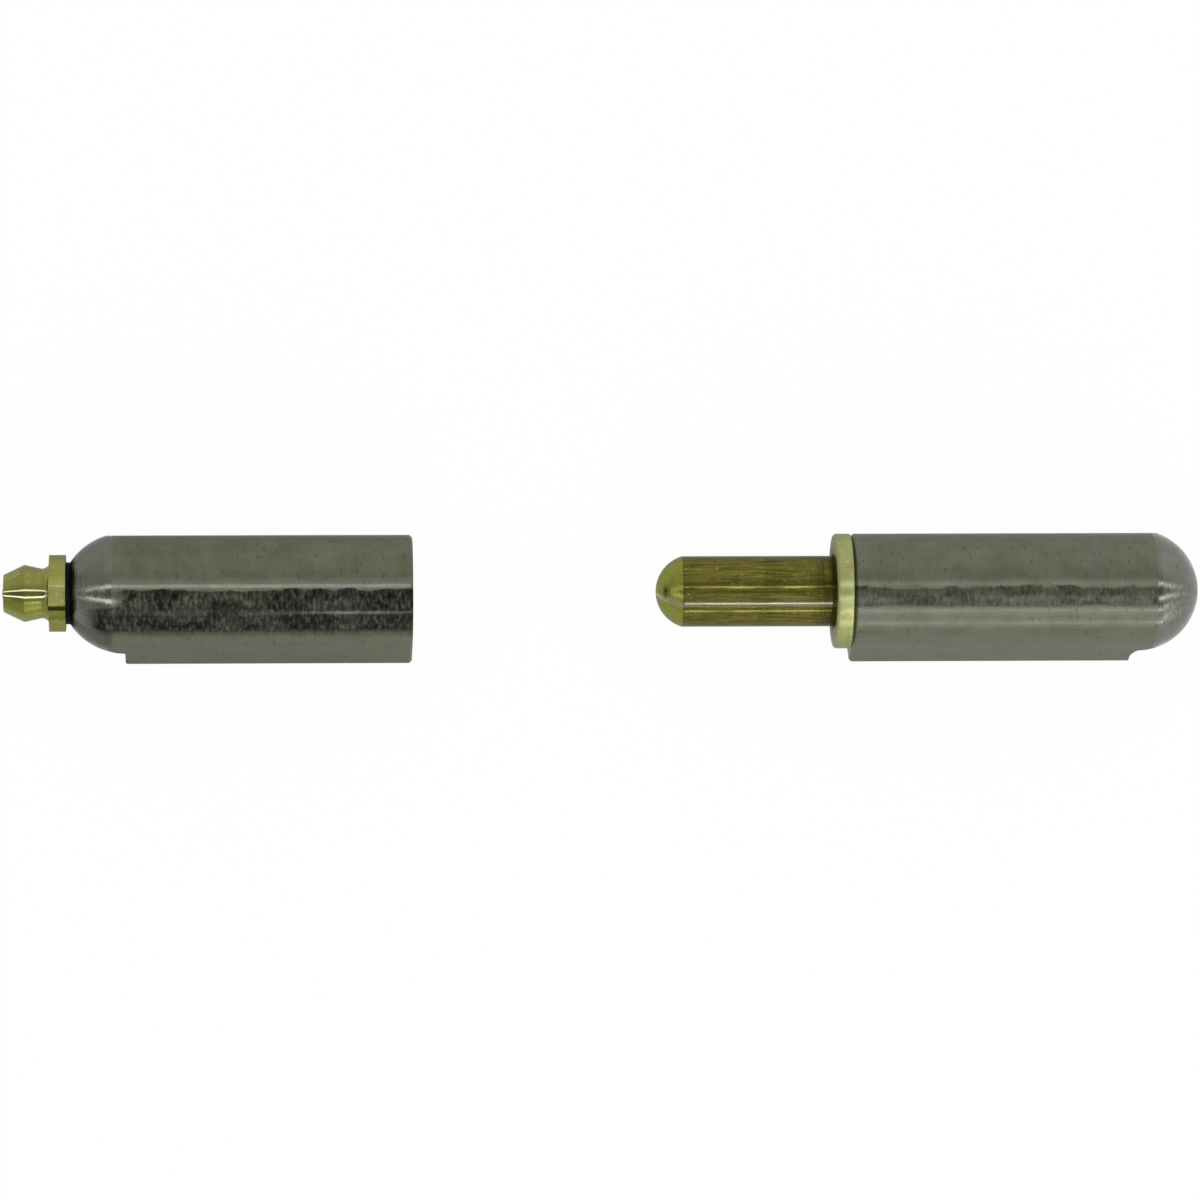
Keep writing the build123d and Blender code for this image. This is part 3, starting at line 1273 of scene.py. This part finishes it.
@dataclass
class SocketHalf(SubAssembly):
    """Steel barrel with the running bore, and the grease fitting at its dome.

    Sizes are in millimetres. The fitting's places are measured outwards from
    its seat, where the hexagon meets the collar. Only the hexagon reaches
    further out from the axis than milled_beyond.
    """

    bar_length: float = 33.7
    shank_radius: float = 3.0
    shank_break: float = 0.4
    shank_length: float = 5.5
    hexagon_sides: int = 6
    hexagon_thickness: float = 1.87
    hexagon_corner: float = 4.325
    hexagon_flats: float = 8.0
    hexagon_turn_deg: float = -4.4
    blank_sides: int = 180
    shank_end: float = 0.3
    root_at: float = 0.6
    neck_root: float = 3.3
    neck_radius: float = 2.8
    neck_at: float = 2.72
    neck_steps: int = 8
    head_radius: float = 3.22
    head_at: float = 4.63
    head_half_land: float = 0.05
    tip_radius: float = 2.11
    tip_at: float = 7.0
    inlet_radius: float = 1.28
    chamber_radius: float = 1.6
    chamber_end: float = 5.55
    crimp_radius: float = 0.9
    crimp: float = 0.5
    edge_break: float = 0.07
    milled_beyond: float = 3.35
    barrel: Axis = field(default_factory=lambda: Axis(Node.SOCKET_BARREL))
    fitting: Axis = field(default_factory=lambda: Axis(Node.FITTING))

    @property
    def seat(self) -> Vector:
        """Point on the axis where the hexagon meets the collar."""
        return self.fitting.at(self.fitting.high.x - self.shank_length * MM)

    def steel(self) -> BarSteel:
        """Finish of the barrel.

        Returns:
            The finish.
        """
        return BarSteel(
            name="socket_half_bar",
            colour=linear(98, 101, 81),
            cast_colour=linear(101, 96, 89),
            roughness=0.32,
            edge_tint=0.62,
            lip_side_lighter_share=0.5,
            oil=1.0,
            oil_deg=(-14.0, 45.0),
            turned_beyond_mm=self.barrel.high.x / MM - self.bar_length,
            turned_side=-1.0,
            turned_and_highlight_colour=linear(106, 108, 95),
            turned_wet=0.3,
            dome_darker_share=0.55,
            scale_colour=linear(49, 47, 39),
            deep_colour=linear(38, 37, 33),
            scale_deg=(-2.2, 45.0),
            scale_soft_deg=(1.2, 7.0),
            scale_share=0.97,
            scale_on_dome_mm=3.0,
            scale_wet=0.05,
            scale_run_deg=20.5,
            scale_run_wet=0.6,
            bright_share=0.1,
            # Painted shade round the fitting's collar on the dome.
            foot_shade_radius_mm=3.5,
        )

    def brass(self) -> Brass:
        """Finish of the fitting.

        Returns:
            The finish.
        """
        return Brass(
            name="fitting_brass",
            radius_mm=3.0,
            colour=linear(139, 139, 70),
            dark_colour=linear(84, 82, 30),
            bright_colour=linear(220, 215, 150),
            roughness=0.055,
            along_share=0.1,
            round_share=0.2,
            oil=1.0,
            oil_ior=1.75,
            oil_deg=(-12.0, 14.0),
            milled_from_mm=self.milled_beyond,
            flat_at_deg=self.hexagon_turn_deg,
            scuff_at_deg=33.0,
            scuff_half_deg=15.0,
            scuff_share=0.8,
        )

    def fitting_rings(self) -> list[Ring]:
        """Outline of the fitting, once round its wall.

        Returns:
            The rings in order.
        """
        inner = -self.shank_length
        neck_height = self.neck_root - self.neck_radius
        neck_length = self.neck_at - self.hexagon_thickness
        bend = (neck_length**2 + neck_height**2) / (2 * neck_height)
        sweep = math.degrees(math.asin(neck_length / bend))
        return [
            Ring(inner, self.crimp_radius),
            Ring(inner, self.shank_radius - self.shank_break),
            Ring(inner + self.shank_break, self.shank_radius),
            Ring(self.shank_end, self.shank_radius),
            Ring(self.root_at, self.neck_root),
            *arc(Ring(self.neck_at, self.neck_radius + bend), bend, 270.0 - sweep, 270.0, self.neck_steps),
            Ring(self.head_at - self.head_half_land, self.head_radius),
            Ring(self.head_at + self.head_half_land, self.head_radius),
            Ring(self.tip_at, self.tip_radius),
            Ring(self.tip_at, self.inlet_radius),
            Ring(self.chamber_end, self.chamber_radius),
            Ring(inner + self.crimp, self.chamber_radius),
            Ring(inner + self.crimp, self.crimp_radius),
        ]

    def hexagon(self) -> bpy.types.Object:
        """Turn the hexagon's blank and mill its six flats.

        Returns:
            The hexagon, still apart from the fitting.
        """
        ends = [Ring(0.0, self.hexagon_corner), Ring(self.hexagon_thickness, self.hexagon_corner)]
        blank = Bench.turn("hexagon", ends, self.seat, way=-1.0, sides=self.blank_sides)
        for side in range(self.hexagon_sides):
            turn = math.radians(360.0 / self.hexagon_sides * side + self.hexagon_turn_deg)
            outward = Vector((0.0, -math.sin(turn), math.cos(turn)))
            Bench.mill(blank, self.seat + outward * (self.hexagon_flats / 2 * MM), outward)
        return blank

    def build(self) -> list[bpy.types.Object]:
        """Make the fitting and dress both pieces.

        Returns:
            The barrel and the new fitting.
        """
        barrel = Bench.dress_node(Node.SOCKET_BARREL, self.steel())
        fitting = Bench.turn("fitting_turned", self.fitting_rings(), self.seat, way=-1.0, closed=True)
        Bench.weld(fitting, self.hexagon())
        Bench.break_edges(fitting, self.edge_break)
        Bench.dress(fitting, self.brass())
        self.settle(fitting, Body.SOCKET_HALF, Slot.FITTING_BRASS, Node.FITTING)
        return [barrel, fitting]


class CheckValve(SubAssembly):
    """Ball and spring inside the fitting, as the frame gives them."""

    def build(self) -> list[bpy.types.Object]:
        """Dress both pieces.

        Returns:
            The ball and the spring.
        """
        bright = PlainSteel(name="ball_steel", colour=(0.55, 0.55, 0.55), roughness=0.15)
        wire = PlainSteel(name="spring_steel", colour=(0.35, 0.35, 0.36), roughness=0.3)
        return [Bench.dress_node(Node.BALL, bright), Bench.dress_node(Node.SPRING, wire)]


# ------------------------------------------------------------------ the studio


@dataclass
class Camera:
    """Long lens that looks almost straight down on the hinge."""

    distance: float = 0.758
    focal_mm: float = 201.0
    sensor_mm: float = 36.0
    nearest: float = 0.01
    farthest: float = 20.0
    tilt_left_deg: float = 2.9
    tilt_front_deg: float = 0.5
    roll_deg: float = 0.2
    aim: Vector = field(default_factory=lambda: Vector((-0.00025, -0.00019, 0.0065)))

    def build(self) -> None:
        """Place the camera and make it the scene's."""
        left, front = math.radians(self.tilt_left_deg), math.radians(self.tilt_front_deg)
        back = Vector((-math.sin(left), -math.sin(front), math.cos(left) * math.cos(front))).normalized()
        right = Vector((0.0, 1.0, 0.0)).cross(back).normalized()
        up = back.cross(right)
        bpy.ops.object.camera_add()
        camera = bpy.context.object
        camera.name = "camera"
        turn = Matrix((right, up, back)).transposed().to_4x4()
        turn = turn @ Matrix.Rotation(math.radians(-self.roll_deg), 4, "Z")
        camera.matrix_world = Matrix.Translation(self.aim + back * self.distance) @ turn
        camera.data.sensor_width = self.sensor_mm
        camera.data.lens = self.focal_mm
        camera.data.clip_start = self.nearest
        camera.data.clip_end = self.farthest
        bpy.context.scene.camera = camera


@dataclass(frozen=True)
class Strip:
    """Long lamp parallel to the hinge, seen from it at an angle from overhead."""

    name: str
    angle_deg: float
    left: float
    right: float
    width: float
    radiance: float
    distance: float = 0.8


@dataclass
class Studio:
    """Pale floor, soft surroundings and long lamps.

    The sky is a list of angles from overhead, from the front to the back, each
    with its level. It is dimmer on the left, and even past the hinge's ends.
    """

    floor_size: float = 3.0
    floor_colour: Colour = (0.9, 0.9, 0.9)
    fibre_cells: float = 900.0
    glow: float = 0.96
    lamp_colour: Colour = (0.88, 0.94, 1.0)
    strips: tuple[Strip, ...] = (
        Strip("strip_back", 12.6, -2.5, 2.5, 0.095, 3.0),
        Strip("strip_overhead", -17.0, -2.5, 2.5, 0.1, 3.8),
        Strip("strip_front", -40.5, -0.03, 1.5, 0.065, 4.1),
        Strip("strip_low", -68.0, -0.03, 1.5, 0.065, 3.2),
    )
    sky: tuple[tuple[float, float], ...] = (
        (-90.0, 1.0),
        (-46.0, 0.95),
        (-34.0, 0.55),
        (-12.0, 0.3),
        (9.0, 0.3),
        (20.0, 0.5),
        (36.0, 0.8),
        (50.0, 0.95),
        (90.0, 1.0),
    )
    left_level: float = 0.8
    right_level: float = 1.2
    side_reach: float = 0.9
    end_level: float = 0.76
    end_reach: Stretch = (0.7, 0.93)

    def floor(self) -> None:
        """Lay the floor, whose paper the camera sees as almost pure white."""
        Bench.clear()
        bpy.ops.mesh.primitive_plane_add(size=self.floor_size, location=(0.0, 0.0, 0.0))
        floor = bpy.context.object
        floor.name = "floor"
        material = bpy.data.materials.new("floor_paper")
        material.use_nodes = True
        graph = Graph(material.node_tree)
        coords = graph.add("ShaderNodeTexCoord").outputs["Object"]
        fibre = graph.noise(coords, self.fibre_cells, 2.0)
        tone = graph.blend(fibre, shade(self.floor_colour, 0.99), self.floor_colour)
        paper = graph.add("ShaderNodeBsdfDiffuse", {"Color": tone})
        glow = graph.add("ShaderNodeEmission", {"Color": (1.0, 1.0, 1.0, 1.0), "Strength": 1.0})
        seen = graph.times(graph.add("ShaderNodeLightPath").outputs["Is Camera Ray"], self.glow)
        mix = graph.add("ShaderNodeMixShader", {0: seen, 1: paper.outputs[0], 2: glow.outputs[0]})
        graph.add("ShaderNodeOutputMaterial", {0: mix.outputs[0]})
        floor.data.materials.append(material)

    def surroundings(self) -> None:
        """Fill the world with soft light that is dimmer overhead."""
        world = bpy.data.worlds.new("studio")
        bpy.context.scene.world = world
        world.use_nodes = True
        graph = Graph(world.node_tree)
        way = graph.add("ShaderNodeTexCoord").outputs["Generated"]
        right, back, up = graph.add("ShaderNodeSeparateXYZ", {0: way}).outputs
        toward_back = graph.times(graph.sum(Sum.ANGLE, back, up), DEG_PER_RAD)
        front_deg, back_deg = self.sky[0][0], self.sky[-1][0]
        share = graph.line(toward_back, front_deg, back_deg, 0.0, 1.0)
        ramp = graph.add("ShaderNodeValToRGB", {0: share})
        elements = ramp.color_ramp.elements
        while len(elements) < len(self.sky):
            elements.new(0.5)
        for element, (angle, level) in zip(elements, self.sky):
            element.position = (angle - front_deg) / (back_deg - front_deg)
            element.color = (level, level, level, 1.0)
        sideways = graph.span(right, -self.side_reach, self.side_reach, self.left_level, self.right_level)
        end_on = graph.span(graph.size(right), *self.end_reach)
        tone = graph.blend(end_on, ramp.outputs[0], (self.end_level, self.end_level, self.end_level))
        light = graph.add("ShaderNodeBackground", {"Color": tone, "Strength": sideways})
        graph.add("ShaderNodeOutputWorld", {0: light.outputs[0]})

    def lamp(self, strip: Strip) -> None:
        """Hang one long lamp.

        Args:
            strip: Its size, place and power.
        """
        turn = math.radians(strip.angle_deg)
        middle = (strip.left + strip.right) / 2
        place = Vector((middle, math.sin(turn) * strip.distance, math.cos(turn) * strip.distance))
        data = bpy.data.lights.new(strip.name, "AREA")
        data.shape = "RECTANGLE"
        data.size = strip.right - strip.left
        data.size_y = strip.width
        data.energy = strip.radiance * math.pi * data.size * data.size_y
        data.color = self.lamp_colour
        lamp = bpy.data.objects.new(strip.name, data)
        bpy.context.scene.collection.objects.link(lamp)
        lamp.matrix_world = Matrix.Translation(place) @ Matrix.Rotation(-turn, 4, "X")

    def build(self) -> None:
        """Set up the floor, the surroundings, the lamps and the view transform."""
        self.floor()
        self.surroundings()
        for strip in self.strips:
            self.lamp(strip)
        bpy.context.scene.view_settings.view_transform = "Standard"


def main() -> None:
    """Load the frame, build and dress every piece, and set up the studio."""
    logging.basicConfig(level=logging.INFO, format="%(name)s: %(message)s")
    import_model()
    for sub_assembly in (PinHalf, ThrustWasher, SocketHalf, CheckValve):
        for piece in sub_assembly().build():
            LOG.info("%s is dressed in %s", piece.name, piece.data.materials[0].name)
    Studio().build()
    Camera().build()


if __name__ == "__main__":
    main()
